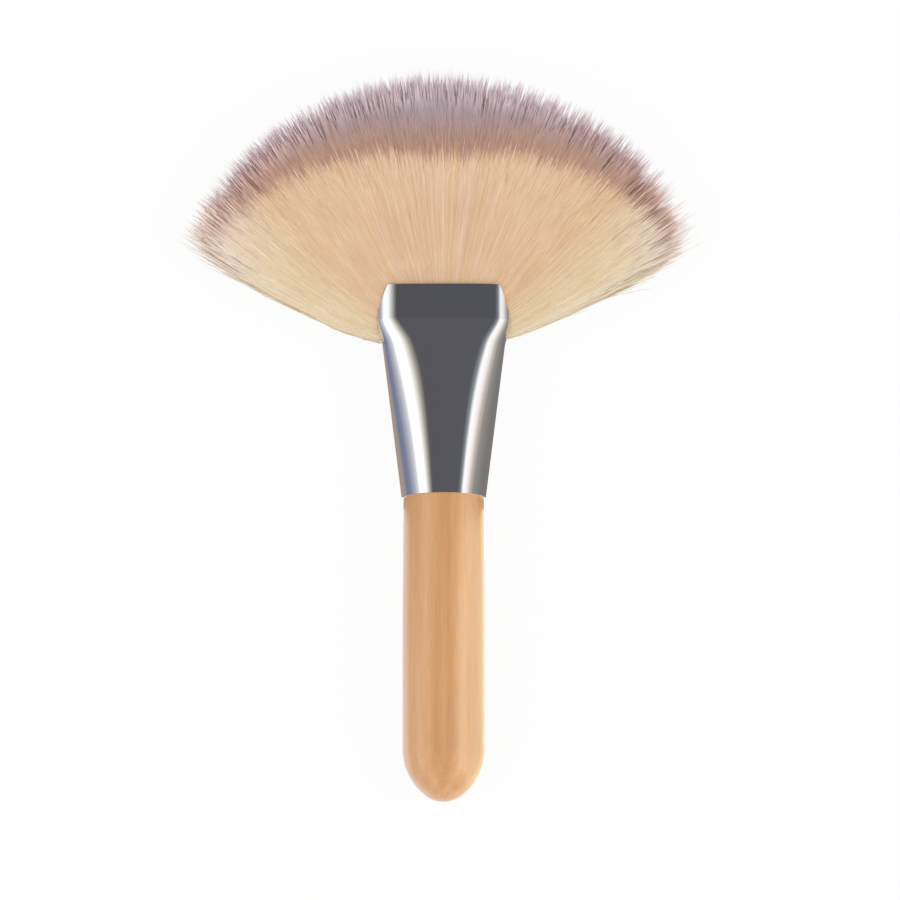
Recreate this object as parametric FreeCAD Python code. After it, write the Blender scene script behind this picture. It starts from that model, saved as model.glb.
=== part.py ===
"""Short fan brush for powder: a turned wooden handle, a pressed metal ferrule and a fanned tuft.

Millimetres. The brush lies on its back: its axis runs along Y, the bristle tips point to +Y, the fan is
level, and the thickest part of the handle touches Z = 0. X = 0 is the plane of symmetry.
"along" is a distance from the handle's shoulder towards the tips, "reach" one from the fan's focus.
"""

import FreeCAD
import Part
import math
import os

V = FreeCAD.Vector

# Handle
handle_length = 60.8       # shoulder to the end of the nose
shoulder_radius = 8.0      # flush with the ferrule
grip_radius = 8.2          # the straight part, which carries the brush when it lies down
swell_length = 22.0        # from the shoulder to the straight part
nose_length = 10.5         # the bullet-shaped end
nose_tip_radius = 6.0
tenon_length = 12.0        # inside the ferrule
tenon_chamfer = 0.8
glue_gap = 0.15            # tenon to the ferrule's inner wall

# Ferrule
ferrule_wall = 0.4
fold_along = 35.9          # knuckle where the flat mouth band starts
band_length = 6.9          # the flat band at the mouth
mouth_half_width = 13.45
mouth_half_depth = 3.5
flat_half_width = 6.0      # level part of the band
side_slope = 0.125         # half-width gained for each millimetre of tube
knuckle_length = 5.0       # stretch below the fold where the sides bulge
press_power = 2.4          # how late the tube thins towards the fold
flatten_power = 8.0        # how late the round section turns flat
crown_sharpness = 5.0      # how level the pressed face is before it turns the corner
cut_depth = 9.8            # V-shaped cut in each narrow side, from the mouth down
cut_tip_radius = 0.8
cut_half_opening = 2.55     # at the mouth
cut_overrun = 2.0
section_points = 32
shank_stations = (0.0, 0.3, 0.6, 0.8, 0.9, 1.0)    # shares of the way to the fold

# Resin plug
resin_length = 8.0
fill_gap = 0.05            # resin or bristles to the ferrule's wall
bundle_gap = 0.08          # straight bundle to the inside of the mouth band

# Bristle tuft
focus_along = 27.5         # the bristles fan out from this point inside the ferrule
tip_reach = 58.3
fan_half_angle = 64.5      # where the rounded edge of tips ends
skirt_half_angle = 71.0    # the lowest bristles, which are the shortest
skirt_reach = 27.0
skirt_power = 1.3          # how late the skirt falls back
skirt_sections = 4
lens_margin = 2.0          # past the skirt, where the fan would have no depth left
neck_half_width = 22.2     # the bundle between the mouth and the locks is an ellipse
neck_half_depth = 2.95
neck_end = 23.0
fan_start = 20.5
fan_start_half_depth = 2.75
lock_start = 24.0
waist_reach = 32.0
waist_fullness = 0.7       # share of the growth in depth that is reached at the waist
fan_half_depth = 5.2       # the thickest part of the fan, on its middle line
dome_depth = 12.3          # how far back the tips are rounded, on the middle line
dome_depth_at_skirt = 5.5
dome_steps = (0.0, 0.55, 0.85)
tip_half_depth = 0.12
lock_count = 54            # an even count of locks, from one side of the rounded edge to the other
lock_relief = 0.055        # a lock stands proud, and a furrow lies low, by this share of the depth
furrow_depth = 1.3         # how far back the furrows lie between the tips of the locks
tip_raggedness = 0.9
ragged_turn = 2.4          # radians of the raggedness wave from one section to the next

# Places that follow from these sizes
mouth_along = fold_along + band_length
resin_along = tenon_length + resin_length
axis_z = grip_radius
shoulder_y = (handle_length - focus_along - tip_reach) / 2
focus_y = shoulder_y + focus_along


def place(x, along, z):
    """A point at a distance along the axis from the shoulder."""
    return V(x, shoulder_y + along, axis_z + z)


def smooth(u):
    """Eases from 0 to 1 while u goes from 0 to 1."""
    u = min(max(u, 0.0), 1.0)
    return u * u * (3 - 2 * u)


def pressed(along, power):
    """The share of the flattening that is reached at this distance, 1 from the fold on."""
    return min(max(along, 0.0) / fold_along, 1.0) ** power


def half_width(along):
    """Half the tube's outer width: a straight taper, and a bulge at the knuckle."""
    knuckle_start = fold_along - knuckle_length
    bulge = mouth_half_width - shoulder_radius - side_slope * fold_along
    taper = side_slope * min(along, fold_along)
    return shoulder_radius + taper + bulge * smooth((along - knuckle_start) / knuckle_length)


def half_depth(along):
    """Half the tube's outer depth, from round at the shoulder to the band at the fold."""
    return shoulder_radius - (shoulder_radius - mouth_half_depth) * pressed(along, press_power)


def section(along, inset):
    """Closed section of the tube, moved inwards by inset."""
    flat = flat_half_width * pressed(along, flatten_power)
    side = half_width(along) - inset - flat
    depth = half_depth(along) - inset
    points = []
    for i in range(section_points):
        turn = 2 * math.pi * i / section_points
        level = math.tanh(crown_sharpness * math.sin(turn)) / math.tanh(crown_sharpness)
        x = flat * level + side * math.sin(turn)
        points.append(place(x, along, depth * math.cos(turn)))
    curve = Part.BSplineCurve()
    curve.interpolate(Points=points, PeriodicFlag=True)
    return Part.Wire([curve.toShape()])


def tube(inset, start, end):
    """Solid with the tube's form between two distances from the shoulder."""
    stop = min(end, fold_along)
    between = [fold_along * share for share in shank_stations]
    stations = [start] + [s for s in between if start + 1.0 < s < stop - 1.0] + [stop]
    body = Part.makeLoft([section(s, inset) for s in stations], True, False)
    if end > fold_along:
        band = Part.Face(section(fold_along, inset)).extrude(V(0, end - fold_along, 0))
        body = body.fuse(band)
    return body


def side_cut(narrower):
    """Prism of the V-shaped cut through both narrow sides, with a round bottom, made narrower by a gap."""
    radius = cut_tip_radius - narrower
    centre = mouth_along - cut_depth + cut_tip_radius
    run = mouth_along - centre
    corner = math.hypot(cut_half_opening, run)
    lean = math.acos(cut_tip_radius / corner) - math.atan2(run, cut_half_opening)
    top = mouth_along + cut_overrun
    open_half = (top - centre) * math.tan(lean) + radius / math.cos(lean)
    touch_along = centre - radius * math.sin(lean)
    touch_z = radius * math.cos(lean)
    side = -2 * mouth_half_width
    left = [place(side, top, -open_half), place(side, touch_along, -touch_z)]
    right = [place(side, touch_along, touch_z), place(side, top, open_half)]
    bottom = Part.Arc(left[1], place(side, centre - radius, 0), right[0]).toShape()
    edges = [Part.makeLine(*left), bottom, Part.makeLine(*right), Part.makeLine(right[1], left[0])]
    return Part.Face(Part.Wire(edges)).extrude(V(-2 * side, 0, 0))


def ferrule():
    """Thin tube, open at both ends, with its two side cuts."""
    outer = tube(0, 0, mouth_along)
    inner = tube(ferrule_wall, 0, mouth_along)
    return outer.cut(inner).cut(side_cut(0))


def wall_zone():
    """The ferrule's metal grown by the fill gap, which the bristles stay out of."""
    outer = tube(-fill_gap, 0, mouth_along + fill_gap)
    inner = tube(ferrule_wall + fill_gap, 0, mouth_along + cut_overrun)
    return outer.cut(inner).cut(side_cut(fill_gap))


def handle():
    """Tenon, shoulder, swell, straight grip and bullet nose, turned about the axis."""
    root = shoulder_radius - ferrule_wall - glue_gap
    end = half_depth(tenon_length) - ferrule_wall - glue_gap
    nose_y = -handle_length + nose_length
    outline = [
        place(0, tenon_length, 0),
        place(end - tenon_chamfer, tenon_length, 0),
        place(end, tenon_length - tenon_chamfer, 0),
        place(root, 0, 0),
        place(shoulder_radius, 0, 0),
        place(grip_radius, -swell_length, 0),
        place(grip_radius, nose_y, 0),
    ]
    edges = [Part.makeLine(a, b) for a, b in zip(outline, outline[1:])]
    edges += nose_edges(nose_y)
    edges.append(Part.makeLine(place(0, -handle_length, 0), outline[0]))
    face = Part.Face(Part.Wire(edges))
    return face.revolve(place(0, 0, 0), V(0, 1, 0), 360)


def nose_edges(nose_y):
    """Two arcs that run into each other, from the grip to the middle of the nose."""
    corner = place(grip_radius, nose_y, 0)
    tip_centre = place(0, -handle_length + nose_tip_radius, 0)
    # the shoulder arc is tangent to the grip, and touches the tip's arc from inside
    drop = nose_y - (-handle_length + nose_tip_radius)
    side_radius = (grip_radius ** 2 + drop ** 2 - nose_tip_radius ** 2) / (2 * (grip_radius - nose_tip_radius))
    side_centre = place(grip_radius - side_radius, nose_y, 0)
    apart = (tip_centre - side_centre).normalize()
    joint = tip_centre + apart * nose_tip_radius
    half_turn = (corner - side_centre).normalize() + apart
    middle = side_centre + half_turn.normalize() * side_radius
    tip = place(0, -handle_length, 0)
    tip_turn = apart + V(0, -1, 0)
    tip_middle = tip_centre + tip_turn.normalize() * nose_tip_radius
    return [Part.Arc(corner, middle, joint).toShape(), Part.Arc(joint, tip_middle, tip).toShape()]


def resin():
    """Plug between the tenon and the roots of the bristles, as wide as the tube at the tenon."""
    side = half_width(tenon_length) - ferrule_wall - fill_gap
    depth = half_depth(resin_along) - ferrule_wall - fill_gap
    return elliptical_bar(side, depth, shoulder_y + tenon_length, resin_length)


def elliptical_bar(side, depth, start_y, length):
    """Straight bar along Y with an elliptical section, round the brush's axis."""
    centre = V(0, start_y, axis_z)
    rim = Part.Ellipse(centre + V(side, 0, 0), centre + V(0, 0, depth), centre)
    return Part.Face(Part.Wire([rim.toShape()])).extrude(V(0, length, 0))


def lens(angle):
    """Share of the fan's depth left at this angle from its middle line."""
    return math.sqrt(1 - (angle / (skirt_half_angle + lens_margin)) ** 2)


def outline_reach(angle):
    """Reach of the tips: an arc, then the skirt, whose bristles are shorter towards its edge."""
    past = max(0.0, abs(angle) - fan_half_angle) / (skirt_half_angle - fan_half_angle)
    return tip_reach - (tip_reach - skirt_reach) * past ** skirt_power


def profile(angle, points):
    """Section of the fan in the upright plane at this angle, from (reach, half depth) pairs."""
    direction = V(math.sin(math.radians(angle)), math.cos(math.radians(angle)), 0)
    focus = V(0, focus_y, axis_z)
    upper = [focus + direction * r + V(0, 0, h) for r, h in points]
    lower = [focus + direction * r - V(0, 0, h) for r, h in reversed(points)]
    return Part.makePolygon(upper + lower + upper[:1])


def lock_profile(angle, side, ragged):
    """Section of the fan: side is 1 on a lock, -1 in a furrow and 0 on the skirt."""
    thin = lens(angle)
    deep = thin * (1 + side * lock_relief)
    reach = outline_reach(angle) - ragged - (furrow_depth if side < 0 else 0.0)
    share = min(abs(angle) / skirt_half_angle, 1.0)
    dome = dome_depth + (dome_depth_at_skirt - dome_depth) * share ** 2
    crest = max(reach - dome, (lock_start + reach) / 2)
    waist = min(waist_reach, (lock_start + crest) / 2)
    waist_share = (waist - lock_start) / (waist_reach - lock_start)
    start_depth = fan_start_half_depth * lock_start / fan_start
    waist_depth = start_depth + waist_fullness * (fan_half_depth - start_depth) * waist_share
    points = [(fan_start, fan_start_half_depth * thin), (lock_start, start_depth * thin)]
    points.append((waist, waist_depth * deep))
    for u in dome_steps:
        points.append((crest + u * (reach - crest), fan_half_depth * deep * math.sqrt(1 - u * u)))
    points.append((reach, tip_half_depth))
    return profile(angle, points)


def fan():
    """Locks of bristles, lofted around the focus through their own sections."""
    sections = []
    step = fan_half_angle / lock_count
    for k in range(-lock_count, lock_count + 1):
        side = 1 if (k + lock_count) % 2 == 0 else -1
        ragged = tip_raggedness * (0.5 - 0.5 * math.cos(ragged_turn * k))
        sections.append(lock_profile(k * step, side, ragged))
    width = (skirt_half_angle - fan_half_angle) / skirt_sections
    for i in range(1, skirt_sections + 1):
        sections.append(lock_profile(fan_half_angle + i * width, 0, 0.0))
        sections.insert(0, lock_profile(-fan_half_angle - i * width, 0, 0.0))
    return Part.makeLoft(sections, True, True)


def neck():
    """The bundle as it leaves the mouth and its side cuts: an elliptical bar trimmed to the fan's angle."""
    focus = V(0, focus_y, 0)
    side = math.radians(skirt_half_angle)
    left = focus + V(-math.sin(side), math.cos(side), 0) * neck_end
    right = focus + V(math.sin(side), math.cos(side), 0) * neck_end
    arc = Part.Arc(left, focus + V(0, neck_end, 0), right).toShape()
    sides = [Part.makeLine(right, focus), Part.makeLine(focus, left)]
    sector = Part.Face(Part.Wire([arc] + sides)).extrude(V(0, 0, 2 * axis_z))
    bar = elliptical_bar(neck_half_width, neck_half_depth, shoulder_y + resin_along, neck_end + focus_along)
    return bar.common(sector)


def tuft():
    """Roots inside the ferrule, neck and fan, as one bundle that clears the metal."""
    mouth = Part.Face(section(mouth_along, ferrule_wall + bundle_gap))
    roots = mouth.extrude(V(0, resin_along - mouth_along, 0))
    roots = roots.common(tube(ferrule_wall / 2, tenon_length, mouth_along + cut_overrun))
    bundle = roots.fuse(neck()).cut(wall_zone())
    return bundle.fuse(fan())


os.makedirs("parts", exist_ok=True)
pieces = {
    "handle": handle(),
    "ferrule": ferrule(),
    "root_resin": resin(),
    "bristle_tuft": tuft(),
}
for name, shape in pieces.items():
    solids = shape.Solids
    print(name, "solids", len(solids), "valid", shape.isValid(), "volume", round(shape.Volume, 1), shape.BoundBox)
    shape.exportStep("parts/" + name + ".step")
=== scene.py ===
# %% [markdown]
# # A fan brush for loose powder
# The object is a short brush that lies flat on the floor: a turned wooden handle, a bright metal ferrule
# pressed flat at its mouth, and a wide fan of dyed synthetic bristles. The three get a mesh of their own,
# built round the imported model, which gives their places. The resin inside the ferrule never shows, so its
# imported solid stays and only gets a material.

import math

import bmesh
import bpy
import numpy as np
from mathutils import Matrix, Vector


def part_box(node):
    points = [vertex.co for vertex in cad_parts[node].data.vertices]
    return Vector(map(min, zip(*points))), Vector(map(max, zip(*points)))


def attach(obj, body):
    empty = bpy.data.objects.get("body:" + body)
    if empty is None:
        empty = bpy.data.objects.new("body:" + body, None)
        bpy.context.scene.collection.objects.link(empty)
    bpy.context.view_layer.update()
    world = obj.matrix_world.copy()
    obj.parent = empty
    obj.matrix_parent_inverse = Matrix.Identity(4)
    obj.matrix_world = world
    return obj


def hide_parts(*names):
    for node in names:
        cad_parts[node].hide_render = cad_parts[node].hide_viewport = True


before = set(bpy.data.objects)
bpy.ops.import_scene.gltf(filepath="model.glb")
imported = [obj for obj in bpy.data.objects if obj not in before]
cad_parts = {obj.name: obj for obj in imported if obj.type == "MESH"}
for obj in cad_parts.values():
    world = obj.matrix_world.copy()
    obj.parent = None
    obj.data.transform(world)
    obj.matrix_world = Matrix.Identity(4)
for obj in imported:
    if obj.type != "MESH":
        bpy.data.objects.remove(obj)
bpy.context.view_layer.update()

# %% [markdown]
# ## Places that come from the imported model
# Blender works in metres, and real sizes are easier to read in millimetres, so nearly every size below is a
# number of millimetres times MM. Only the floor and the camera's distance are in metres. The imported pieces
# say where the axis is, where the handle ends, and where the bristles leave the ferrule, so nothing has to be
# placed by eye.

# %% Shared places
MM = 0.001
handle_low, handle_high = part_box("handle")
ferrule_low, ferrule_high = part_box("ferrule")
tuft_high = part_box("bristle_tuft")[1]
grip_radius = (handle_high.z - handle_low.z) / 2
axis_z = handle_low.z + grip_radius
shoulder_y = ferrule_low.y
mouth_along = ferrule_high.y - shoulder_y
print("axis height", round(axis_z / MM, 2), "mm, mouth", round(mouth_along / MM, 2), "mm past the shoulder")

# %% [markdown]
# ## Three helpers for materials
# Colours are picked as sRGB hex values, the way a paint program shows them, but shaders want linear light.
# One function turns the one into the other. A second one adds a node with its settings and its inputs,
# where an input is either a plain value or the output of an earlier node. A third one starts a material.

# %% Colour and node helpers
def linear(hex_colour):
    """An sRGB hex colour as linear RGBA."""
    shares = [int(hex_colour[i:i + 2], 16) / 255 for i in (1, 3, 5)]
    return [s / 12.92 if s <= 0.04045 else ((s + 0.055) / 1.055) ** 2.4 for s in shares] + [1.0]


def add_node(tree, kind, inputs=None, stops=(), **settings):
    """Adds a node. inputs maps a socket's name or number to a value or an output, stops fill a ramp."""
    node = tree.nodes.new(kind)
    for name, value in settings.items():
        setattr(node, name, value)
    for name, value in (inputs or {}).items():
        if isinstance(value, bpy.types.NodeSocket):
            tree.links.new(value, node.inputs[name])
        else:
            node.inputs[name].default_value = value
    for number, (place, colour) in enumerate(stops):
        elements = node.color_ramp.elements
        stop = elements[number] if number < len(elements) else elements.new(place)
        stop.position = place
        stop.color = colour
    return node


def new_material(name):
    """An empty node material and its tree."""
    material = bpy.data.materials.new(name)
    material.use_nodes = True
    material.node_tree.nodes.clear()
    return material, material.node_tree


# %% [markdown]
# ## Lacquered beech
# The handle is beech, turned and sanded, then sprayed with a clear satin lacquer. Beech is pale and even,
# with grain that runs along the handle. Seen close it has soft stripes a few millimetres wide and short fine
# flecks, which tell the eye that this is wood and not painted plastic.
# The pattern is 3-D noise that is squeezed across the handle and stretched along it, so it also runs round
# the nose the way real grain does. The lacquer is the coat of the Principled shader: smoother than the wood.

# %% Lacquered beech
grain_stripe = 2.6 * MM
grain_length = 70 * MM
fleck_width = 0.35 * MM
fleck_length = 5 * MM
fleck_relief = 0.05 * MM

beech, tree = new_material("lacquered_beech")
place = add_node(tree, "ShaderNodeTexCoord").outputs["Object"]
stripe_scale = (1 / grain_stripe, 1 / grain_length, 1 / grain_stripe)
stripe_place = add_node(tree, "ShaderNodeMapping", {"Vector": place, "Scale": stripe_scale}).outputs[0]
stripes = add_node(tree, "ShaderNodeTexNoise", {
    "Vector": stripe_place, "Scale": 1.0, "Detail": 3.0,
}).outputs[0]
fleck_scale = (1 / fleck_width, 1 / fleck_length, 1 / fleck_width)
fleck_place = add_node(tree, "ShaderNodeMapping", {"Vector": place, "Scale": fleck_scale}).outputs[0]
flecks = add_node(tree, "ShaderNodeTexNoise", {"Vector": fleck_place, "Scale": 1.0, "Detail": 2.0}).outputs[0]
wood = add_node(tree, "ShaderNodeValToRGB", {"Fac": stripes}, stops=(
    (0.30, linear("#C98F58")),
    (0.50, linear("#D69C63")),
    (0.72, linear("#DFAA75")),
)).outputs["Color"]
fleck_tone = add_node(tree, "ShaderNodeMapRange", {
    "Value": flecks, "From Min": 0.35, "From Max": 0.65, "To Min": 0.95, "To Max": 1.03,
}).outputs[0]
wood = add_node(tree, "ShaderNodeVectorMath", {0: wood, "Scale": fleck_tone}, operation="SCALE").outputs[0]
relief = add_node(tree, "ShaderNodeBump", {
    "Height": flecks, "Strength": 0.05, "Distance": fleck_relief,
}).outputs[0]
lacquer = add_node(tree, "ShaderNodeBsdfPrincipled", {
    "Base Color": wood,
    "Roughness": 0.5,
    "IOR": 1.5,
    "Coat Weight": 1.0,
    "Coat Roughness": 0.3,
    "Normal": relief,
}).outputs[0]
add_node(tree, "ShaderNodeOutputMaterial", {"Surface": lacquer})
print(beech.name, len(tree.nodes), "nodes, stripes", round(grain_stripe / MM, 2), "mm wide")

# %% [markdown]
# ## Handle
# A turned piece is the easiest shape in Blender: draw half its outline and spin it round the axis. Most of
# the outline is straight, so it is a chain of a few vertices. The bullet-shaped end is two arcs that run
# into each other, and they are made by spinning the chain's last vertex. Drawing the arcs by hand would
# take many points and still not be round. The tenon inside the ferrule is part of the same turning.
# Two helpers come first: one makes a mesh of a finished bmesh, the other puts a piece in the scene.

# %% Mesh and piece helpers
def finished_mesh(bm, name):
    """The mesh of a bmesh, which is freed."""
    mesh = bpy.data.meshes.new(name)
    bm.to_mesh(mesh)
    bm.free()
    return mesh


def new_piece(name, mesh, material):
    """A piece of the object, with its place in its mesh."""
    piece = bpy.data.objects.new(name, mesh)
    bpy.context.scene.collection.objects.link(piece)
    mesh.materials.append(material)
    return piece


# %% Handle values
shoulder_radius = (ferrule_high.z - ferrule_low.z) / 2
ferrule_wall = 0.4 * MM
glue_gap = 0.15 * MM
tenon_chamfer = 0.8 * MM
tenon_taper = 0.63 * MM
swell_length = 22.0 * MM
nose_length = 10.5 * MM
nose_tip_radius = 6.0 * MM
arc_steps = 10
turning_steps = 128
merge_distance = 0.01 * MM
sharp_from = math.radians(30)


# %% Handle mesh
def turned_handle():
    """The handle's half outline in the plane of X and Y, spun round the axis."""
    root = shoulder_radius - ferrule_wall - glue_gap
    nose_y = handle_low.y + nose_length
    outline = [
        (0, handle_high.y),
        (root - tenon_taper - tenon_chamfer, handle_high.y),
        (root - tenon_taper, handle_high.y - tenon_chamfer),
        (root, shoulder_y),
        (shoulder_radius, shoulder_y),
        (grip_radius, shoulder_y - swell_length),
        (grip_radius, nose_y),
    ]
    bm = bmesh.new()
    chain = [bm.verts.new((x, y, axis_z)) for x, y in outline]
    for start, end in zip(chain, chain[1:]):
        bm.edges.new((start, end))
    drop = nose_length - nose_tip_radius
    narrowing = grip_radius - nose_tip_radius
    side_radius = (grip_radius ** 2 + drop ** 2 - nose_tip_radius ** 2) / (2 * narrowing)
    side_turn = math.atan2(drop, side_radius - grip_radius)
    side_centre = (grip_radius - side_radius, nose_y, axis_z)
    tip_centre = (0, handle_low.y + nose_tip_radius, axis_z)
    last = chain[-1]
    for centre, turn in ((side_centre, side_turn), (tip_centre, math.pi / 2 - side_turn)):
        made = bmesh.ops.spin(bm, geom=[last], cent=centre, axis=(0, 0, -1), angle=turn, steps=arc_steps)
        last = next(g for g in made["geom_last"] if isinstance(g, bmesh.types.BMVert))
    last.co.x = 0
    bmesh.ops.spin(
        bm, geom=bm.verts[:] + bm.edges[:], cent=(0, 0, axis_z), axis=(0, 1, 0),
        angle=2 * math.pi, steps=turning_steps, use_merge=True,
    )
    bmesh.ops.remove_doubles(bm, verts=bm.verts, dist=merge_distance)
    bmesh.ops.recalc_face_normals(bm, faces=bm.faces)
    for face in bm.faces:
        face.smooth = True
    mesh = finished_mesh(bm, "handle")
    mesh.set_sharp_from_angle(angle=sharp_from)
    return mesh


handle = new_piece("turned_handle", turned_handle(), beech)
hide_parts("handle")
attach(handle, "root")
print("handle", len(handle.data.polygons), "faces")

# %% [markdown]
# ## Bright nickel plate
# The ferrule is brass or aluminium tube with a bright nickel plate. Plate is a mirror: what the eye sees is
# the studio round it, so the colour is a plain light grey and the work is in the shape and in the stage.
# Drawing the tube leaves very faint lines along it, which only vary the gloss a little. The real lines are
# finer than 0.1 mm, and here they are 0.5 mm wide, because finer ones wouldn't show. The flat band at the
# mouth has painted shade: its plate colour is a little darker than the rest, so its reflection reads deeper.

# %% Bright nickel plate
draw_line_width = 0.5 * MM
draw_line_length = 30 * MM
band_length = 6.9 * MM
band_start = ferrule_high.y - band_length
band_shade_blur = 0.15 * MM

nickel, tree = new_material("bright_nickel_plate")
place = add_node(tree, "ShaderNodeTexCoord").outputs["Object"]
line_scale = (1 / draw_line_width, 1 / draw_line_length, 1 / draw_line_width)
line_place = add_node(tree, "ShaderNodeMapping", {"Vector": place, "Scale": line_scale}).outputs[0]
lines = add_node(tree, "ShaderNodeTexNoise", {"Vector": line_place, "Scale": 1.0, "Detail": 2.0}).outputs[0]
gloss = add_node(tree, "ShaderNodeMapRange", {"Value": lines, "To Min": 0.05, "To Max": 0.09}).outputs[0]
along = add_node(tree, "ShaderNodeSeparateXYZ", {0: place}).outputs[1]
painted_band_shade = add_node(tree, "ShaderNodeMapRange", {
    "Value": along, "From Min": band_start - band_shade_blur, "From Max": band_start + band_shade_blur,
}).outputs[0]
# Painted shade: the plate colour is darker on the flat band at the mouth.
plate_and_band_shade = add_node(tree, "ShaderNodeMix", {
    "Factor": painted_band_shade, 6: linear("#EFEFF0"), 7: linear("#E0E2E3"),
}, data_type="RGBA").outputs[2]
plate = add_node(tree, "ShaderNodeBsdfPrincipled", {
    "Base Color": plate_and_band_shade,
    "Metallic": 1.0,
    "Roughness": gloss,
}).outputs[0]
add_node(tree, "ShaderNodeOutputMaterial", {"Surface": plate})
print(nickel.name, len(tree.nodes), "nodes, draw lines", round(draw_line_width / MM, 2), "mm wide")

# %% [markdown]
# ## Ferrule
# The real ferrule starts as a round tube. A press flattens one end, so the section turns from a circle at
# the handle to a flat band at the mouth, with a knuckle below the band where the sides bulge. Here a circle
# is extruded ring by ring into a straight tube, and then every vertex is pressed to its place by the same
# formulas as in the solid model. A mirror shows every dent, so the rings stand close together.

# %% Ferrule values
fold_along = mouth_along - band_length
knuckle_length = 5.0 * MM
mouth_half_width = 13.45 * MM
mouth_half_depth = 3.5 * MM
flat_half_width = 6.0 * MM
side_slope = 0.125
press_power = 2.4
flatten_power = 8.0
crown_sharpness = 5.0
fold_rounding = 0.25 * MM
ring_points = 160
shank_rings = 44
band_rings = 10


# %% Pressed form
def smooth(share):
    """Eases from 0 to 1 while share goes from 0 to 1. It takes a number or an array."""
    share = np.clip(share, 0.0, 1.0)
    return share * share * (3 - 2 * share)


def pressed(along, power):
    """The share of the flattening that is reached at this distance from the shoulder."""
    return np.clip(along / fold_along, 0.0, 1.0) ** power


def half_width(along):
    """Half the tube's outer width: a straight taper, and a bulge at the knuckle."""
    bulge = mouth_half_width - shoulder_radius - side_slope * fold_along
    knuckle = smooth((along - fold_along + knuckle_length) / knuckle_length)
    return shoulder_radius + side_slope * np.minimum(along, fold_along) + bulge * knuckle


def half_depth(along):
    """Half the tube's outer depth, from round at the shoulder to the band at the fold."""
    return shoulder_radius - (shoulder_radius - mouth_half_depth) * pressed(along, press_power)


def tube_point(along, turn):
    """A point on the tube's outside at this distance from the shoulder and turn round the axis."""
    flat = flat_half_width * pressed(along, flatten_power)
    side = half_width(along) - flat
    level = math.tanh(crown_sharpness * math.sin(turn)) / math.tanh(crown_sharpness)
    x = flat * level + side * math.sin(turn)
    return Vector((x, shoulder_y + along, axis_z + half_depth(along) * math.cos(turn)))


def extruded_rings(bm, edges, places):
    """Extrudes a closed row of edges along Z, to each place in turn."""
    for start, end in zip(places, places[1:]):
        made = bmesh.ops.extrude_edge_only(bm, edges=edges)["geom"]
        verts = [g for g in made if isinstance(g, bmesh.types.BMVert)]
        bmesh.ops.translate(bm, verts=verts, vec=(0, 0, end - start))
        ring = set(verts)
        edges = [g for g in made if isinstance(g, bmesh.types.BMEdge) and ring.issuperset(g.verts)]
    return verts


# %% [markdown]
# ## The V cuts
# Both narrow sides of the band have a V-shaped cut with a round bottom, where the outermost bristles leave
# almost level. The cut is a convex shape, so it can be made like a sculptor's block: split the faces of one
# side with a ring of planes that touch the round bottom, keep track of the faces inside all of them, and
# delete those. A boolean would do it too, but it leaves long thin faces that a mirror finish shows.

# %% V cuts
cut_depth = 9.8 * MM
cut_tip_radius = 0.8 * MM
cut_half_opening = 2.55 * MM
cut_planes = 11
cut_tolerance = 0.001 * MM


def cut_lean():
    """How far the straight edges of the V lean, so that it opens to its full width at the mouth."""
    run = cut_depth - cut_tip_radius
    corner = math.hypot(cut_half_opening, run)
    return math.acos(cut_tip_radius / corner) - math.atan2(run, cut_half_opening)


def cut_one_side(bm, side):
    """Deletes the faces inside the V on one narrow side of the tube."""
    centre = Vector((0, shoulder_y + mouth_along - cut_depth + cut_tip_radius, axis_z))
    inside = [f for f in bm.faces if f.calc_center_median().x * side > flat_half_width / 2]
    widest_turn = math.pi / 2 - cut_lean()
    for number in range(cut_planes):
        turn = widest_turn * (2 * number / (cut_planes - 1) - 1)
        outward = Vector((0, -math.cos(turn), math.sin(turn)))
        touch = centre + outward * cut_tip_radius
        corners = {v for f in inside for v in f.verts}
        borders = {e for f in inside for e in f.edges}
        made = bmesh.ops.bisect_plane(
            bm, geom=list(corners) + list(borders) + inside,
            dist=cut_tolerance, plane_co=touch, plane_no=outward,
        )
        faces = [g for g in made["geom"] if isinstance(g, bmesh.types.BMFace)]
        inside = [f for f in faces if (f.calc_center_median() - touch).dot(outward) < 0]
    bmesh.ops.delete(bm, geom=inside, context="FACES")


# %% Ferrule mesh
def pressed_ferrule():
    """The tube, ring by ring, pressed to form and cut. Modifiers give it its wall and its edges."""
    shank = list(np.linspace(0, fold_along - fold_rounding, shank_rings))
    band = list(np.linspace(fold_along + fold_rounding, mouth_along, band_rings))
    bm = bmesh.new()
    bmesh.ops.create_circle(bm, segments=ring_points, radius=1)
    extruded_rings(bm, bm.edges[:], shank + band)
    for vert in bm.verts:
        vert.co = tube_point(vert.co.z, math.atan2(vert.co.x, vert.co.y))
    bmesh.ops.recalc_face_normals(bm, faces=bm.faces)
    for side in (-1, 1):
        cut_one_side(bm, side)
    for face in bm.faces:
        face.smooth = True
    return finished_mesh(bm, "ferrule")


rim_bevel = 0.07 * MM
rim_from_angle = math.radians(50)
ferrule = new_piece("pressed_ferrule", pressed_ferrule(), nickel)
wall = ferrule.modifiers.new("wall", "SOLIDIFY")
wall.thickness = ferrule_wall
wall.offset = -1
wall.use_even_offset = True
edges = ferrule.modifiers.new("edges", "BEVEL")
edges.width = rim_bevel
edges.segments = 2
edges.limit_method = "ANGLE"
edges.angle_limit = rim_from_angle
edges.harden_normals = True
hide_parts("ferrule")
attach(ferrule, "root")
print("ferrule", len(ferrule.data.polygons), "faces before its wall")

# %% [markdown]
# ## Resin plug
# The bristles are set in epoxy that fills the tube down to the handle. Nothing of it shows, so the packed
# solid stays as it is. Cast resin is clear amber with a few cloudy patches.

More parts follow.
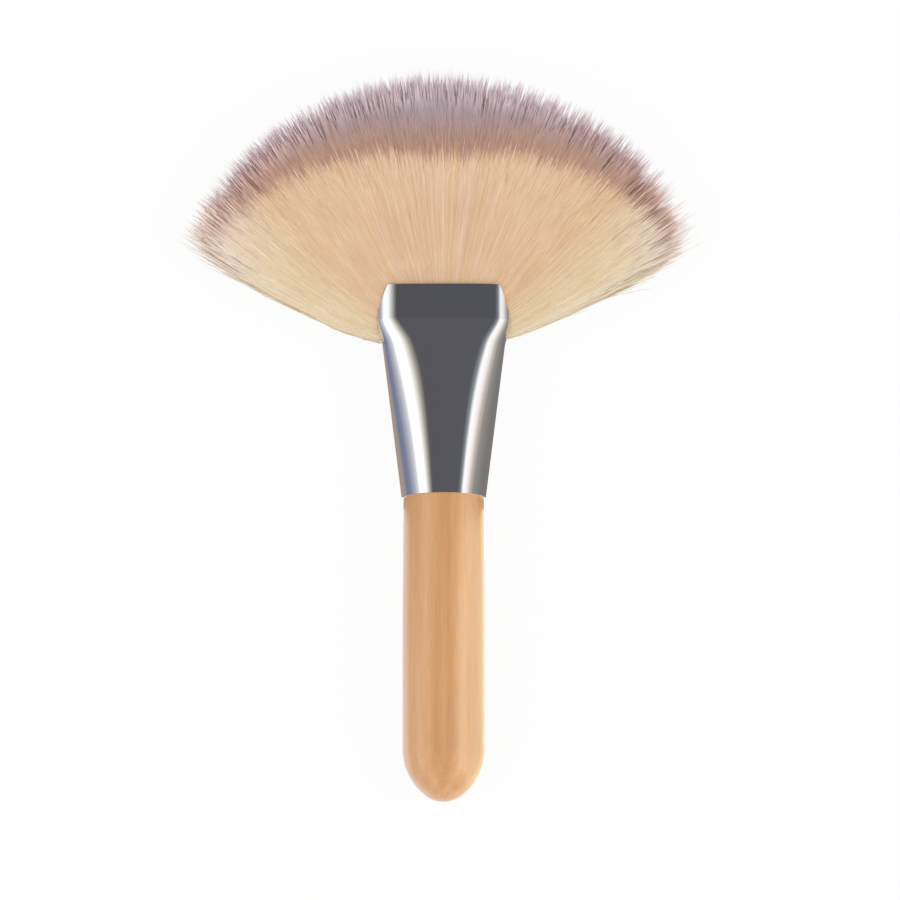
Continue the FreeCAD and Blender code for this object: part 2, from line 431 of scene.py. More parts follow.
# %% Cast epoxy
cloud_size = 3 * MM
epoxy, tree = new_material("cast_epoxy")
place = add_node(tree, "ShaderNodeTexCoord").outputs["Object"]
clouds = add_node(tree, "ShaderNodeTexNoise", {"Vector": place, "Scale": 1 / cloud_size}).outputs[0]
amber = add_node(tree, "ShaderNodeValToRGB", {"Fac": clouds}, stops=(
    (0.35, linear("#D3BE8E")),
    (0.65, linear("#E2D4AE")),
)).outputs["Color"]
cast = add_node(tree, "ShaderNodeBsdfPrincipled", {"Base Color": amber, "Roughness": 0.2}).outputs[0]
add_node(tree, "ShaderNodeOutputMaterial", {"Surface": cast})
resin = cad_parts["root_resin"]
resin.data.materials.clear()
resin.data.materials.append(epoxy)
print(epoxy.name, len(tree.nodes), "nodes, clouds", round(cloud_size / MM, 2), "mm wide")

# %% [markdown]
# ## Dyed PBT bristles
# The bristles are PBT, a clear satin polyester drawn to fine fibres. The whole bundle is dipped in dye tips
# first, so the colour depends on how far out a point is: cream, then a brown band where the dye creeps up
# the fibres, then lilac grey. The outermost bristles at the sides hardly touched the dye. The first cell
# holds the sizes of this pattern, with distances measured from the centre of the fan.

# %% Dye values
reach_span = 62 * MM
dye_line_middle = 39.6 * MM
dye_line_side = 50.2 * MM
dye_line_noise = 7.0 * MM
dye_fade = 17.0 * MM
dye_share_side = 0.45
# Painted light: a pale colour towards the side rim, for the floor seen through the thin fringe.
painted_side_light_start = 38 * MM
painted_side_light_end = 52 * MM
painted_side_light_share = 0.55
# Painted light: how much brighter the colour gets at the rim, in the middle and at the sides.
rim_painted_light = 1.52
rim_painted_light_side = 1.25
painted_light_start = 50.5 * MM
painted_light_end = 55.5 * MM
lightest_fibre = 0.93
tones_across = 700.0
tone_scatter = 0.02
streaks_across = 26.0

# %% [markdown]
# ## Where a point is on the brush
# Each bristle carries two numbers in its UV map. The upright one is the distance from the centre of the fan,
# and the other is its place across the fan, from 0 at the left to 1 at the right. Noise in that second
# direction alone has one value for a whole bristle, so every bristle gets a tone and a dye line of its own.

# %% Place, tone and dye line of a bristle
pbt, tree = new_material("dyed_pbt_fibre")
uv = add_node(tree, "ShaderNodeUVMap", uv_map="OFBake").outputs[0]
axes = add_node(tree, "ShaderNodeSeparateXYZ", {0: uv})
across, upright = axes.outputs[0], axes.outputs[1]
reach = add_node(tree, "ShaderNodeMath", {0: upright, 1: reach_span / MM}, operation="MULTIPLY").outputs[0]
offset = add_node(tree, "ShaderNodeMath", {0: across, 1: 0.5}, operation="SUBTRACT").outputs[0]
away = add_node(tree, "ShaderNodeMath", {0: offset}, operation="ABSOLUTE").outputs[0]
dye_line = add_node(tree, "ShaderNodeMapRange", {
    "Value": away, "From Min": 0.04, "From Max": 0.46,
    "To Min": dye_line_middle / MM, "To Max": dye_line_side / MM,
}).outputs[0]
tone = add_node(tree, "ShaderNodeTexNoise", {
    "W": across, "Scale": tones_across, "Detail": 0.0,
}, noise_dimensions="1D").outputs[0]
streak = add_node(tree, "ShaderNodeTexNoise", {
    "W": across, "Scale": streaks_across, "Detail": 2.0,
}, noise_dimensions="1D").outputs[0]
creep = add_node(tree, "ShaderNodeMapRange", {
    "Value": tone, "To Min": -dye_line_noise / MM / 2, "To Max": dye_line_noise / MM / 2,
}).outputs[0]
dye_line = add_node(tree, "ShaderNodeMath", {0: dye_line, 1: creep}, operation="ADD").outputs[0]
past_line = add_node(tree, "ShaderNodeMath", {0: reach, 1: dye_line}, operation="SUBTRACT").outputs[0]
dip = add_node(tree, "ShaderNodeMath", {0: past_line, 1: dye_fade / MM}, operation="DIVIDE").outputs[0]

# %% [markdown]
# ## Cream, dye and painted light at the rim
# Undyed fibre is cream, paler at the sides, with a few golden streaks. The dye takes over past each bristle's
# dye line, less at the sides, where painted light follows it: a pale colour for the white floor seen through
# the thin side fringe. Towards the rim the colour is brightened, painted light for what thin tips let through
# and a plain surface shader doesn't show. Nothing gets lighter than paper.

# %% Colours of a bristle
cream = add_node(tree, "ShaderNodeValToRGB", {"Fac": away}, stops=(
    (0.00, linear("#F0D0B2")),
    (0.20, linear("#EFCFAD")),
    (0.34, linear("#EDCDA8")),
    (0.43, linear("#F1DDBD")),
    (0.49, linear("#F3E5CC")),
)).outputs["Color"]
golden = add_node(tree, "ShaderNodeMapRange", {
    "Value": streak, "From Min": 0.52, "From Max": 0.72, "To Min": 0.0, "To Max": 0.45,
}).outputs[0]
cream = add_node(tree, "ShaderNodeMix", {
    "Factor": golden, 6: cream, 7: linear("#E6C68C"),
}, data_type="RGBA").outputs[2]
tip_dye = add_node(tree, "ShaderNodeValToRGB", {"Fac": dip}, stops=(
    (0.00, linear("#E8C4A4")),
    (0.17, linear("#C79C87")),
    (0.36, linear("#C3A094")),
    (0.56, linear("#B9A2A5")),
    (0.74, linear("#C3B1B7")),
    (0.94, linear("#C4B5BB")),
)).outputs["Color"]
taken_up = add_node(tree, "ShaderNodeMapRange", {
    "Value": dip, "From Min": 0.0, "From Max": 0.15,
}, interpolation_type="SMOOTHSTEP").outputs[0]
side_share = add_node(tree, "ShaderNodeMapRange", {
    "Value": away, "From Min": 0.41, "From Max": 0.47, "To Min": 1.0, "To Max": dye_share_side,
}).outputs[0]
taken_up = add_node(tree, "ShaderNodeMath", {0: taken_up, 1: side_share}, operation="MULTIPLY").outputs[0]
hue = add_node(tree, "ShaderNodeMix", {"Factor": taken_up, 6: cream, 7: tip_dye}, data_type="RGBA").outputs[2]
# Painted light: the pale colour at the side rim, for the floor seen through the thin fringe.
painted_side_light = add_node(tree, "ShaderNodeMapRange", {
    "Value": reach, "From Min": painted_side_light_start / MM, "From Max": painted_side_light_end / MM,
}, interpolation_type="SMOOTHSTEP").outputs[0]
painted_side_light_across = add_node(tree, "ShaderNodeMapRange", {
    "Value": away, "From Min": 0.35, "From Max": 0.47, "To Min": 0.0, "To Max": painted_side_light_share,
}).outputs[0]
painted_side_light = add_node(tree, "ShaderNodeMath", {0: painted_side_light, 1: painted_side_light_across}, operation="MULTIPLY").outputs[0]
hue = add_node(tree, "ShaderNodeMix", {
    "Factor": painted_side_light, 6: hue, 7: linear("#F8E6E0"),
}, data_type="RGBA").outputs[2]
light_or_dark = add_node(tree, "ShaderNodeMapRange", {
    "Value": tone, "From Min": 0.2, "From Max": 0.8, "To Min": 0.84, "To Max": 1.06,
}).outputs[0]
# Painted light: the colour is brightened towards the rim, less at the sides.
painted_light_gain = add_node(tree, "ShaderNodeMapRange", {
    "Value": away, "From Min": 0.34, "From Max": 0.44, "To Min": rim_painted_light, "To Max": rim_painted_light_side,
}).outputs[0]
painted_tip_light = add_node(tree, "ShaderNodeMapRange", {
    "Value": reach, "From Min": painted_light_start / MM, "From Max": painted_light_end / MM, "To Min": 1.0, "To Max": painted_light_gain,
}, interpolation_type="SMOOTHSTEP").outputs[0]
level = add_node(tree, "ShaderNodeMath", {0: light_or_dark, 1: painted_tip_light}, operation="MULTIPLY").outputs[0]
hue = add_node(tree, "ShaderNodeVectorMath", {0: hue, "Scale": level}, operation="SCALE").outputs[0]
paper_white = (lightest_fibre, lightest_fibre, lightest_fibre)
hue = add_node(tree, "ShaderNodeVectorMath", {0: hue, 1: paper_white}, operation="MINIMUM").outputs[0]
fibre = add_node(tree, "ShaderNodeBsdfPrincipled", {
    "Base Color": hue,
    "Roughness": 0.45,
    "IOR": 1.5,
}).outputs[0]
add_node(tree, "ShaderNodeOutputMaterial", {"Surface": fibre})
print(pbt.name, len(tree.nodes), "nodes, dye from", round(dye_line_middle / MM, 1), "mm out in the middle")

# %% [markdown]
# ## One bristle
# The fan holds tens of thousands of bristles, so one has to be as light as it can be: a three-sided tube
# with five stretches, closed to a point at its tip, 28 triangles in all. It is also about twice as thick as
# a real one, because fibres of 0.08 mm would be too many to hold. It is an upright peg of unit size here. Its
# rings are numbered by their height, which is how the next step finds them. Its faces stay flat: smooth
# shading needs more than three sides, and on fewer it only eats light.

# %% Bristle blank
bristle_sides = 3
bristle_rings = 5


def bristle_blank():
    """A three-sided peg along Z with a ring at each whole number and its point one above the last ring."""
    bm = bmesh.new()
    bmesh.ops.create_circle(bm, cap_ends=True, segments=bristle_sides, radius=1)
    tip = extruded_rings(bm, bm.edges[:], list(range(bristle_rings + 1)))
    bmesh.ops.pointmerge(bm, verts=tip, merge_co=(0, 0, bristle_rings))
    bmesh.ops.recalc_face_normals(bm, faces=bm.faces)
    sides = bm.loops.layers.uv.new("OFBake")
    for face in bm.faces:
        middle = face.calc_center_median()
        side = math.floor(bristle_sides * (math.atan2(middle.y, middle.x) / (2 * math.pi) % 1.0))
        for loop in face.loops:
            turn = math.atan2(loop.vert.co.y - middle.y / 2, loop.vert.co.x - middle.x / 2)
            around = (turn / (2 * math.pi) - (side + 0.5) / bristle_sides + 0.5) % 1.0
            loop[sides].uv = (around, loop.vert.co.z)
    return finished_mesh(bm, "bristle_blank")


blank = bristle_blank()
print("a bristle has", len(blank.vertices), "vertices and", len(blank.polygons), "faces")

# %% [markdown]
# ## How a bristle runs
# All bristles fan out from one point inside the ferrule. A bristle is known by two shares: its place across
# the fan, from -1 to 1, and its place in the depth of the bundle, from -1 below to 1 above. From those
# come its angle, its height over the fan's middle plane and how far it reaches. The tips form a dome: the
# bristles in the middle of the bundle reach furthest.

# %% Fan values
focus_along = 27.5 * MM
focus = Vector((0, shoulder_y + focus_along, axis_z))
tip_reach = tuft_high.y - focus.y
skirt_angle_left = math.radians(73.3)
skirt_angle_right = math.radians(70.1)
edge_angle = math.radians(65.5)
lift_from = 21 * MM
lift_over = 37 * MM
lift_power = 0.75
exit_half_width = 12.9 * MM
exit_half_depth = mouth_half_depth - ferrule_wall
exit_margin = 0.15 * MM
exit_inset = 1.8 * MM
narrow_side_from = 10 * MM
narrowest_slot = 0.4 * MM
leaving_length = 14 * MM
fan_half_depth = 5.1 * MM
thickest_reach = 46 * MM
lens_angle = math.radians(75.0)
thinnest_lens = 0.02
dome_depth = 4.0 * MM
dome_depth_at_skirt = 3.0 * MM
crest_rise = 1.4 * MM
crest_fall = 0.8 * MM
crest_dip_right = 2.1 * MM


# %% Fan form
def leaving_angle(across):
    """Angle from the middle line at which a bristle leaves the ferrule. The two sides differ a little."""
    return across * np.where(across < 0, skirt_angle_left, skirt_angle_right)


def fan_angle(across, reach):
    """Angle from the middle line further out, where the outermost bristles have curved up."""
    lift = np.clip((reach - lift_from) / lift_over, 0, 1) ** lift_power
    return leaving_angle(across) * (1 - lift) + across * edge_angle * lift


def exit_place(across):
    """Where a bristle leaves the ferrule, and the half depth that is open to it there."""
    # The limits on the angle and the corner keep the tangents and the root at usable values.
    angle = np.abs(leaving_angle(across))
    run = mouth_along - focus_along
    at_mouth = run * np.tan(np.minimum(angle, 1.2))
    through_mouth = at_mouth < exit_half_width
    cut_centre = mouth_along - cut_depth + cut_tip_radius
    at_side = focus_along + exit_half_width / np.tan(np.maximum(angle, 0.2))
    at_side = np.maximum(at_side, cut_centre - cut_tip_radius / 2)
    x = np.where(through_mouth, at_mouth, exit_half_width)
    along = np.where(through_mouth, mouth_along, at_side)
    corner = np.clip((x - flat_half_width) / (mouth_half_width - ferrule_wall - flat_half_width), 0, 0.999)
    inner = exit_half_depth * np.sqrt(1 - corner ** 2)
    slot = (along - cut_centre) * math.tan(cut_lean()) + cut_tip_radius / math.cos(cut_lean())
    depth = np.where(x < narrow_side_from, inner, np.maximum(slot, narrowest_slot)) - exit_margin
    return x * np.sign(across), along, depth


def fan_depth(across, reach):
    """Half the fan's depth away from the ferrule."""
    lens = np.sqrt(np.clip(1 - (fan_angle(across, reach) / lens_angle) ** 2, thinnest_lens, 1))
    growth = smooth((reach - (mouth_along - focus_along)) / (thickest_reach - mouth_along + focus_along))
    return lens * (exit_half_depth + (fan_half_depth - exit_half_depth) * growth)


def dome_reach(across, deep):
    """How far a bristle reaches: furthest in the middle of the bundle's depth."""
    dome = dome_depth + (dome_depth_at_skirt - dome_depth) * across ** 2
    crest = crest_rise - crest_fall * np.abs(across) - crest_dip_right * np.clip(across, 0, 1)
    return tip_reach + crest - dome * (1 - np.sqrt(1 - np.minimum(deep ** 2, 1)))


# %% [markdown]
# ## Locks
# Bristles cling together in locks, which is what gives the edge its jagged look. A lock has its own place,
# length and lean, and its bristles close up round it a little towards their tips. Inside a lock most bristles
# are shorter than the longest by a random amount, so the rim thins out as real hair does and doesn't end in a
# line. Many lie on the two faces of the fan, where they are seen. At the sides more of them are short, and a
# few stray bristles go their own way. The random numbers are seeded, so every run grows the same brush.

# %% Lock values
layer_count = 5
lock_count = 112
locks_deep = 3
bristles_per_lock = 20
bristle_radius = 0.08 * MM
thinnest_bristle = 0.75
thickest_bristle = 1.3
ring_shares = np.array([0.0, 0.15, 0.36, 0.66, 0.96, 1.0])
ring_thickness = np.array([0.7, 0.85, 1.0, 1.0, 0.8, 0.0])
facing_up = math.pi
roll_spread = 0.5
skin_spread = 1.6
deepest = 0.995
lock_wander = 0.7
lock_closing = 0.3
closing_at_side = 0.15
closing_power = 5
lock_lean = 0.002
bristle_lean = 0.01
lean_power = 4
tip_scatter = 2.1 * MM
tip_scatter_power = 2.5
long_share = 0.28
long_extra = 4.0 * MM
lock_length_spread = 0.5 * MM
most_past_tip = 1.2 * MM
skirt_from = 0.88
skirt_fold = 0.012
thinned_from = 0.5
thinned_share = 0.3
thinned_loss = 16 * MM
wispy_share = 0.8
wispy_loss = 28 * MM
stray_share = 0.015
stray_lean = 0.02
tooth_shift = 0.3
tooth_spread = 0.6 * MM
tooth_share_middle = 0.7
tooth_share_side = 1.3
tooth_seed = 7
teeth = np.random.default_rng(tooth_seed)
tooth_places = np.arange(lock_count) + 0.5 + teeth.uniform(-tooth_shift, tooth_shift, lock_count)
tooth_places = tooth_places / lock_count * 2 - 1
tooth_lengths = teeth.normal(0, tooth_spread, lock_count)
tooth_lengths = tooth_lengths * (tooth_share_middle + tooth_share_side * np.abs(tooth_places) ** 2)
print(lock_count * locks_deep, "locks of", bristles_per_lock, "bristles in each layer")


# %% Bristle paths
def bristle_paths(random):
    """Points of each bristle of a layer, ring by ring, its place across the fan, its start and its reach."""
    locks = lock_count * locks_deep
    count = locks * bristles_per_lock
    lock = np.repeat(np.arange(locks), bristles_per_lock)
    tooth = lock % lock_count
    lock_across = tooth_places[np.arange(locks) % lock_count]
    lock_across = lock_across + random.normal(0, lock_wander / lock_count, locks)
    across = (tooth + 0.5 + random.uniform(-1.0, 1.0, count)) / lock_count * 2 - 1
    across = np.where(np.abs(across) > 1, np.sign(across) * 2 - across, across)
    at_skirt = smooth((np.abs(across) - skirt_from) / (1 - skirt_from))
    across = across - np.sign(across) * at_skirt * random.exponential(skirt_fold, count)
    deep = np.clip(random.uniform(-skin_spread, skin_spread, count), -deepest, deepest)
    closing = random.uniform(0.0, lock_closing, locks)[lock] + closing_at_side * across ** 2
    lean = random.normal(0, lock_lean, locks)[lock] + random.normal(0, bristle_lean, count)
    stray = random.uniform(0, 1, count) < stray_share
    lean = lean + stray * random.normal(0, stray_lean, count)
    longer = tooth_lengths[tooth] + random.normal(0, lock_length_spread, locks)[lock]
    longer = longer - random.gamma(tip_scatter_power, tip_scatter, count)
    long = random.uniform(0, 1, count) < long_share
    longer = longer + long * random.uniform(0, long_extra, count)
    outwards = smooth((np.abs(across) - thinned_from) / (1 - thinned_from))
    thinned = random.uniform(0, 1, count) < thinned_share * outwards
    wispy = random.uniform(0, 1, count) < wispy_share * at_skirt
    longer = longer - thinned * random.uniform(0, thinned_loss, count)
    longer = longer - wispy * random.uniform(0, wispy_loss, count)
    reach = np.minimum(dome_reach(across, deep) + longer, tip_reach + most_past_tip)

    exit_x, exit_along, exit_deep = exit_place(across)
    start_x = exit_x - exit_inset * np.sin(leaving_angle(across))
    start_along = exit_along - exit_inset * np.cos(leaving_angle(across))
    start_along = np.maximum(start_along, mouth_along - cut_depth + narrowest_slot)
    start_reach = np.hypot(start_x, start_along - focus_along)
    points = np.zeros((count, len(ring_shares), 3))
    for ring, share in enumerate(ring_shares):
        r = start_reach + (reach - start_reach) * share
        pull = closing * share ** closing_power
        place = across + (lock_across[lock] - across) * pull + lean * share ** lean_power
        angle = fan_angle(place, r)
        leaving = smooth((r - start_reach) / leaving_length)
        depth = exit_deep * (1 - leaving) + fan_depth(place, r) * leaving
        points[:, ring, 0] = r * np.sin(angle)
        points[:, ring, 1] = focus.y + r * np.cos(angle)
        points[:, ring, 2] = focus.z + deep * depth
    points[:, 0, 0] = start_x
    points[:, 0, 1] = shoulder_y + start_along
    return points, across, start_reach, reach


# %% Bristles into a mesh
column_half_width = 0.49


def grow_layer(name, random):
    """Repeats the blank with an Array modifier, then lays every copy along its own path."""
    points, across, start, reach = bristle_paths(random)
    count = len(points)
    holder = bpy.data.objects.new(name, blank)
    bpy.context.scene.collection.objects.link(holder)
    repeat = holder.modifiers.new("repeat", "ARRAY")
    repeat.count = count
    repeat.use_relative_offset = False
    mesh = bpy.data.meshes.new_from_object(holder.evaluated_get(bpy.context.evaluated_depsgraph_get()))
    bpy.data.objects.remove(holder)

    unit = np.zeros(len(mesh.vertices) * 3, np.float32)
    mesh.vertices.foreach_get("co", unit)
    unit = unit.reshape(count, -1, 3)
    ring = np.rint(unit[:, :, 2]).astype(int)
    along = np.gradient(points, axis=1)
    along /= np.linalg.norm(along, axis=2, keepdims=True)
    sideways = np.cross(along, (0, 0, 1))
    sideways /= np.linalg.norm(sideways, axis=2, keepdims=True)
    upwards = np.cross(sideways, along)
    roll = random.normal(facing_up, roll_spread, count)[:, None]
    thickness = random.uniform(thinnest_bristle, thickest_bristle, count)[:, None]
    radius = bristle_radius * thickness * ring_thickness[ring]
    x = (unit[:, :, 0] * np.cos(roll) - unit[:, :, 1] * np.sin(roll)) * radius
    y = (unit[:, :, 0] * np.sin(roll) + unit[:, :, 1] * np.cos(roll)) * radius
    row = np.arange(count)[:, None]
    place = points[row, ring] + x[:, :, None] * sideways[row, ring] + y[:, :, None] * upwards[row, ring]
    mesh.vertices.foreach_set("co", place.astype(np.float32).ravel())

    layer = mesh.uv_layers["OFBake"]
    uv = np.zeros(len(layer.data) * 2, np.float32)
    layer.data.foreach_get("uv", uv)
    uv = uv.reshape(count, -1, 2)
    share = ring_shares[np.rint(uv[:, :, 1]).astype(int)]
    column = 0.5 + column_half_width * np.clip(across + random.normal(0, tone_scatter, count), -1, 1)
    uv[:, :, 0] = column[:, None] + (uv[:, :, 0] - 0.5) / tones_across
    uv[:, :, 1] = (start[:, None] * (1 - share) + reach[:, None] * share) / reach_span
    layer.data.foreach_set("uv", uv.ravel())
    mesh.update()
    return mesh


first_layer_seed = 20
bristle_count = 0
for number in range(layer_count):
    random = np.random.default_rng(first_layer_seed + number)
    name = f"bristles_{number + 1}"
    bristles = new_piece(name, grow_layer(name, random), pbt)
    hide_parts("bristle_tuft")
    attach(bristles, "root")
    bristle_count += lock_count * locks_deep * bristles_per_lock
print(bristle_count, "bristles in", layer_count, "layers")

# %% [markdown]
# ## Stage
# The brush lies on a plain white floor. The floor has to look white and still show a trace of the brush's
# shadow, so to the camera it is mostly a plain white glow and a little lit paper. The world is white to the
# camera and in reflections, and gives plain light to everything else.

# %% What the camera sees
def directly_seen(tree):
    """An output that is 1 for the camera, in reflections and through glass, and 0 for all other light."""
    path = add_node(tree, "ShaderNodeLightPath")
    seen = add_node(tree, "ShaderNodeMath", {
        0: path.outputs["Is Camera Ray"], 1: path.outputs["Is Glossy Ray"],
    }, operation="MAXIMUM").outputs[0]
    return add_node(tree, "ShaderNodeMath", {
        0: seen, 1: path.outputs["Is Transmission Ray"],
    }, operation="MAXIMUM").outputs[0]


# %% Floor and world
floor_size = 8.0
floor_glow = 0.93
world_light = 0.55

paper, tree = new_material("white_paper")
lit = add_node(tree, "ShaderNodeBsdfDiffuse", {"Color": linear("#FAFAFA")}).outputs[0]
glow = add_node(tree, "ShaderNodeEmission", {"Color": (1, 1, 1, 1), "Strength": 1.0}).outputs[0]
share = add_node(tree, "ShaderNodeMath", {
    0: directly_seen(tree), 1: floor_glow,
}, operation="MULTIPLY").outputs[0]
sheet = add_node(tree, "ShaderNodeMixShader", {0: share, 1: lit, 2: glow}).outputs[0]
add_node(tree, "ShaderNodeOutputMaterial", {"Surface": sheet})

bm = bmesh.new()
bmesh.ops.create_grid(bm, x_segments=1, y_segments=1, size=floor_size / 2)
floor = new_piece("floor", finished_mesh(bm, "floor"), paper)

world = bpy.data.worlds.new("studio")
bpy.context.scene.world = world
world.use_nodes = True
tree = world.node_tree
tree.nodes.clear()
strength = add_node(tree, "ShaderNodeMapRange", {
    "Value": directly_seen(tree), "To Min": world_light, "To Max": 1.0,
}).outputs[0]
white = add_node(tree, "ShaderNodeBackground", {"Color": (1, 1, 1, 1), "Strength": strength}).outputs[0]
add_node(tree, "ShaderNodeOutputWorld", {"Surface": white})
print("floor", floor_size, "m wide, world light", world_light)

# %% [markdown]
# ## Lamps
# Two very soft suns from above, the stronger one from the right, model the round handle without hard
# shadows. They don't show in reflections: the next step gives the metal something better to reflect.

# %% Soft lamps
def soft_sun(name, azimuth, elevation, light, softness):
    """A sun lamp from this direction, in degrees. light is what it adds to a white face turned to it."""
    data = bpy.data.lights.new(name, "SUN")
    data.energy = light * math.pi
    data.angle = math.radians(softness)
    lamp = bpy.data.objects.new(name, data)
    bpy.context.scene.collection.objects.link(lamp)
    lamp.rotation_euler = (math.radians(90 - elevation), 0, math.radians(azimuth))
    lamp.visible_glossy = False
    return lamp


soft_sun("key", azimuth=70, elevation=48, light=0.37, softness=50)
soft_sun("fill", azimuth=-65, elevation=42, light=0.27, softness=60)

# %% [markdown]
# ## What the metal reflects
# A photographer lights chrome with cards: a dark one overhead, so the flat face reads dark and clean, two
# bright strips beside it, and greys further out. Here they are one arch of card round the axis, whose shade
# changes with the angle. Only reflections see it.

# %% Reflection cards
def only_reflected(card):
    """Hides a card from everything but reflections."""
    card.visible_camera = False
    card.visible_diffuse = False
    card.visible_transmission = False
    card.visible_volume_scatter = False
    card.visible_shadow = False


arch_radius = 130 * MM
arch_back = -700 * MM
arch_front = 700 * MM
arch_half_angle = 100
card_glow = 1.3

shades, tree = new_material("arch_of_cards")
place = add_node(tree, "ShaderNodeTexCoord").outputs["Object"]
axes = add_node(tree, "ShaderNodeSeparateXYZ", {0: place})
angle = add_node(tree, "ShaderNodeMath", {
    0: axes.outputs[0], 1: axes.outputs[2],
}, operation="ARCTAN2").outputs[0]
angle_share = add_node(tree, "ShaderNodeMapRange", {
    "Value": angle, "From Min": -math.radians(arch_half_angle), "From Max": math.radians(arch_half_angle),
}).outputs[0]


def arch_stop(degrees, hex_colour):
    """A colour stop of the arch at this angle from straight up."""
    return (degrees / (2 * arch_half_angle) + 0.5, linear(hex_colour))


shade = add_node(tree, "ShaderNodeValToRGB", {"Fac": angle_share}, stops=(
    arch_stop(-86, "#8A8D9F"),
    arch_stop(-79, "#9B9DAA"),
    arch_stop(-67, "#C4C5CA"),
    arch_stop(-60.5, "#FFFFFF"),
    arch_stop(-46, "#FFFFFF"),
    arch_stop(-40, "#DAD9D0"),
    arch_stop(-33, "#96928B"),
    arch_stop(-27, "#545250"),
    arch_stop(-21, "#515056"),
    arch_stop(36, "#525258"),
    arch_stop(43, "#80868A"),
    arch_stop(49, "#F4F4F4"),
    arch_stop(59, "#E8E2DE"),
    arch_stop(68, "#B9AFA9"),
    arch_stop(81, "#86827D"),
)).outputs["Color"]
card_light = add_node(tree, "ShaderNodeEmission", {"Color": shade, "Strength": card_glow}).outputs[0]
add_node(tree, "ShaderNodeOutputMaterial", {"Surface": card_light})

bm = bmesh.new()
turn = math.radians(arch_half_angle)
x, z = -arch_radius * math.sin(turn), arch_radius * math.cos(turn)
ends = [bm.verts.new((x, y, z)) for y in (arch_back, arch_front)]
edge = bm.edges.new(ends)
bmesh.ops.spin(bm, geom=ends + [edge], cent=(0, 0, 0), axis=(0, 1, 0), angle=2 * turn, steps=60)
only_reflected(new_piece("arch", finished_mesh(bm, "arch"), shades))
print(shades.name, len(tree.nodes), "nodes, radius", round(arch_radius / MM), "mm")

# %% [markdown]
# ## Cards close to the brush
# The ferrule's lower flanks would mirror the white floor and melt into it. A narrow card on the floor, under
# the ferrule alone, gives them a tone: bluish on the left, plain grey on the right. The handle has a brighter
# one, which lights the lacquer along both its edges. A last card bends round the handle's right side, and
# its blurred reflection is the light stripe along the wood. Its edges fade out, so no mirror shows them.

# %% Floor cards
floor_card_width = 260 * MM
floor_card_lift = 0.15 * MM
floor_card_shaded = 60 * MM
handle_floor_glow = 2.0
past_handle_end = 25 * MM


def floor_card(name, start, end, glow, stops):
    """A card on the floor, from start to end along the brush. stops: places across it in mm, and colours."""
    material, tree = new_material(name)
    place = add_node(tree, "ShaderNodeTexCoord").outputs["Object"]
    axes = add_node(tree, "ShaderNodeSeparateXYZ", {0: place})
    share = add_node(tree, "ShaderNodeMapRange", {
        "Value": axes.outputs[0], "From Min": -floor_card_shaded, "From Max": floor_card_shaded,
    }).outputs[0]
    shade = add_node(tree, "ShaderNodeValToRGB", {"Fac": share}, stops=[
        (x_mm * MM / floor_card_shaded / 2 + 0.5, linear(hex_colour)) for x_mm, hex_colour in stops
    ]).outputs["Color"]
    card_light = add_node(tree, "ShaderNodeEmission", {"Color": shade, "Strength": glow}).outputs[0]
    add_node(tree, "ShaderNodeOutputMaterial", {"Surface": card_light})
    bm = bmesh.new()
    bmesh.ops.create_grid(bm, x_segments=1, y_segments=1, size=0.5)
    bmesh.ops.scale(bm, verts=bm.verts, vec=(floor_card_width, end - start, 1))
    bmesh.ops.translate(bm, verts=bm.verts, vec=(0, (start + end) / 2, floor_card_lift))
    only_reflected(new_piece(name, finished_mesh(bm, name), material))
    print(name, round((end - start) / MM, 1), "mm along the brush")


cards_meet = shoulder_y - 1 * MM
floor_card("ferrule_floor_card", cards_meet, shoulder_y + mouth_along, card_glow, (
    (-58, "#757990"),
    (-40, "#6C708D"),
    (-30, "#7A7788"),
    (-22, "#958985"),
    (-8, "#9C897A"),
    (8, "#716D6A"),
    (30, "#73716F"),
    (58, "#7C7A77"),
))
floor_card("handle_floor_card", handle_low.y - past_handle_end, cards_meet, handle_floor_glow, (
    (-58, "#BCBCBC"),
    (-40, "#CAC4BC"),
    (-27, "#ECDAD0"),
    (-13, "#BCD4E4"),
    (0, "#BCBCBC"),
    (18, "#F5F5D7"),
    (36, "#BCBCA8"),
    (58, "#BCBCBC"),
))

# %% Handle card
handle_card_radius = 30 * MM
handle_card_glow = 2.4
handle_card_middle = math.radians(67)
handle_card_half_turn = math.radians(40)
fade_start = 0.4 * handle_card_half_turn
fade_end = 0.98 * handle_card_half_turn
handle_card_back = handle_low.y - 15 * MM

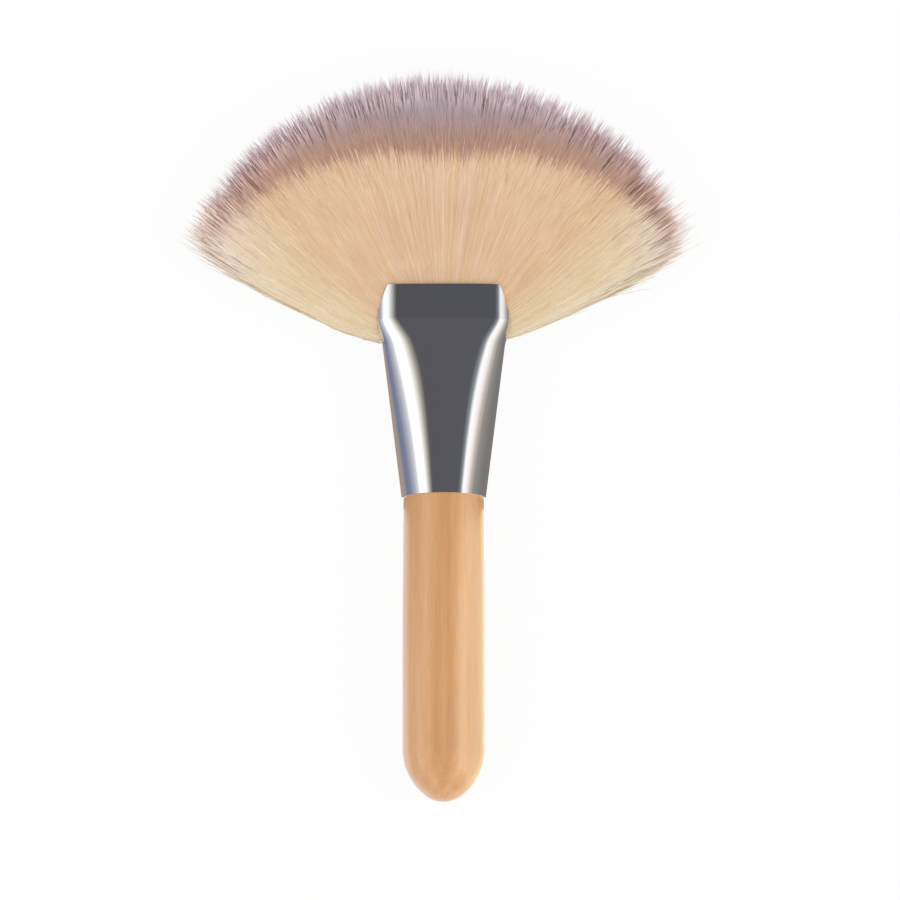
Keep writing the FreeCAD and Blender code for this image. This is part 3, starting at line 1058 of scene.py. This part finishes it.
bright, tree = new_material("handle_card")
place = add_node(tree, "ShaderNodeTexCoord").outputs["Object"]
axes = add_node(tree, "ShaderNodeSeparateXYZ", {0: place})
height = add_node(tree, "ShaderNodeMath", {0: axes.outputs[2], 1: axis_z}, operation="SUBTRACT").outputs[0]
turn = add_node(tree, "ShaderNodeMath", {0: axes.outputs[0], 1: height}, operation="ARCTAN2").outputs[0]
past_middle = add_node(tree, "ShaderNodeMath", {
    0: turn, 1: handle_card_middle,
}, operation="SUBTRACT").outputs[0]
past_middle = add_node(tree, "ShaderNodeMath", {0: past_middle}, operation="ABSOLUTE").outputs[0]
card_share = add_node(tree, "ShaderNodeMapRange", {
    "Value": past_middle, "From Min": fade_start, "From Max": fade_end, "To Min": 1.0, "To Max": 0.0,
}, interpolation_type="SMOOTHSTEP").outputs[0]
card_light = add_node(tree, "ShaderNodeEmission", {
    "Color": linear("#F4FFFA"), "Strength": handle_card_glow,
}).outputs[0]
clear = add_node(tree, "ShaderNodeBsdfTransparent").outputs[0]
faded = add_node(tree, "ShaderNodeMixShader", {0: card_share, 1: clear, 2: card_light}).outputs[0]
add_node(tree, "ShaderNodeOutputMaterial", {"Surface": faded})

bm = bmesh.new()
start = handle_card_middle - handle_card_half_turn
x = handle_card_radius * math.sin(start)
z = axis_z + handle_card_radius * math.cos(start)
ends = [bm.verts.new((x, y, z)) for y in (handle_card_back, cards_meet)]
edge = bm.edges.new(ends)
bmesh.ops.spin(
    bm, geom=ends + [edge], cent=(0, 0, axis_z), axis=(0, 1, 0), angle=2 * handle_card_half_turn, steps=24,
)
only_reflected(new_piece("handle_card", finished_mesh(bm, "handle_card"), bright))
print(bright.name, len(tree.nodes), "nodes, radius", round(handle_card_radius / MM), "mm")

# %% [markdown]
# ## Camera
# The camera looks down on the brush from 81.4 degrees, a little from the handle's side. A long lens from far
# away keeps the fan's outline true.

# %% Camera
camera_elevation = math.radians(81.4)
camera_distance = 1.2
view_width = 180 * MM
view_middle = Vector((1.26 * MM, -2.79 * MM, axis_z))

lens = bpy.data.cameras.new("camera")
lens.sensor_width = 36.0
lens.lens = lens.sensor_width * camera_distance / view_width
lens.clip_end = 20.0
camera = bpy.data.objects.new("camera", lens)
bpy.context.scene.collection.objects.link(camera)
back = Vector((0, -math.cos(camera_elevation), math.sin(camera_elevation)))
camera.location = view_middle + back * camera_distance
camera.rotation_euler = (math.pi / 2 - camera_elevation, 0, 0)
bpy.context.scene.camera = camera
bpy.context.scene.view_settings.view_transform = "Standard"
print("lens", round(lens.lens), "mm at", camera_distance, "m")
